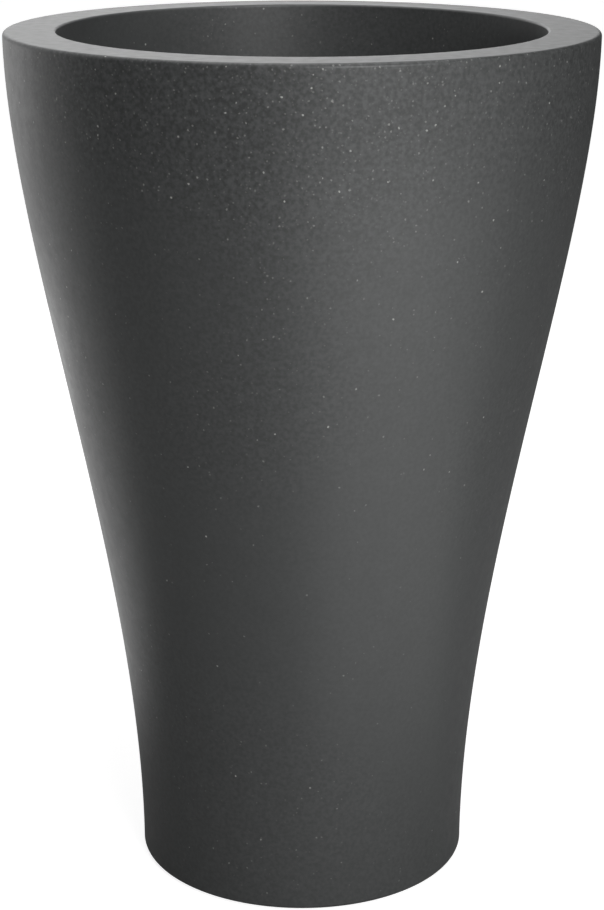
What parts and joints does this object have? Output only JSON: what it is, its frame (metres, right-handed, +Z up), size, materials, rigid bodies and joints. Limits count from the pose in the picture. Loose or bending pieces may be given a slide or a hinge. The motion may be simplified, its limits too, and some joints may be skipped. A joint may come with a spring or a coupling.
{
  "type": "floor planter",
  "caption": "Tall round ogee floor planter with a broad flat rim, a lift-out inner pot on a ledge below the rim, a drain grid, and a screw drain in the base.",
  "frame": {"origin": "on the floor, at the centre of the round footprint", "axes": "+Z up along the axis of the vase, +X through one lift handle, -Y towards the viewer of the picture"},
  "size_m": [0.6, 0.6, 0.9],
  "materials": {
    "stone_effect_shell": "satin, fine pale speckle",
    "glide_rubber": "matt",
    "drain_bush_plastic": "satin",
    "seal_rubber": "matt",
    "drain_plug_plastic": "satin",
    "inner_pot_plastic": "satin",
    "handle_plastic": "satin",
    "grid_plastic": "satin"
  },
  "bodies": {
    "planter": {"planter_shell": "stone_effect_shell", "rim_collar": "stone_effect_shell", "floor_glides": "glide_rubber", "drain_bush": "drain_bush_plastic"},
    "plug_seal": {"plug_seal": "seal_rubber"},
    "drain_plug": {"drain_plug": "drain_plug_plastic"},
    "inner_pot": {"inner_pot": "inner_pot_plastic"},
    "lift_handle_right": {"lift_handle_right": "handle_plastic"},
    "lift_handle_left": {"lift_handle_left": "handle_plastic"},
    "drain_grid": {"drain_grid": "grid_plastic"}
  },
  "joints": [
    {"name": "plug_rise", "type": "slide", "parent": "planter", "child": "plug_seal", "axis": [0, 0, 1], "range_m": [0, 0.012]},
    {"name": "plug_turn", "type": "hinge", "parent": "plug_seal", "child": "drain_plug", "pos_m": [0, 0, 0.0255], "axis": [0, 0, 1], "range_deg": [0, 1080]},
    {"name": "inner_pot_lift", "type": "slide", "parent": "planter", "child": "inner_pot", "axis": [0, 0, 1], "range_m": [0, 0.7]},
    {"name": "handle_right_swing", "type": "hinge", "parent": "inner_pot", "child": "lift_handle_right", "pos_m": [0.20044, 0, 0.793], "axis": [0, 1, 0], "range_deg": [0, 180]},
    {"name": "handle_left_swing", "type": "hinge", "parent": "inner_pot", "child": "lift_handle_left", "pos_m": [-0.20044, 0, 0.793], "axis": [0, -1, 0], "range_deg": [0, 180]},
    {"name": "drain_grid_lift", "type": "slide", "parent": "inner_pot", "child": "drain_grid", "axis": [0, 0, 1], "range_m": [0, 0.45]}
  ],
  "couplings": [
    {"joint": "plug_rise", "follows": "plug_turn", "m_per_rad": 0.00063661}
  ]
}
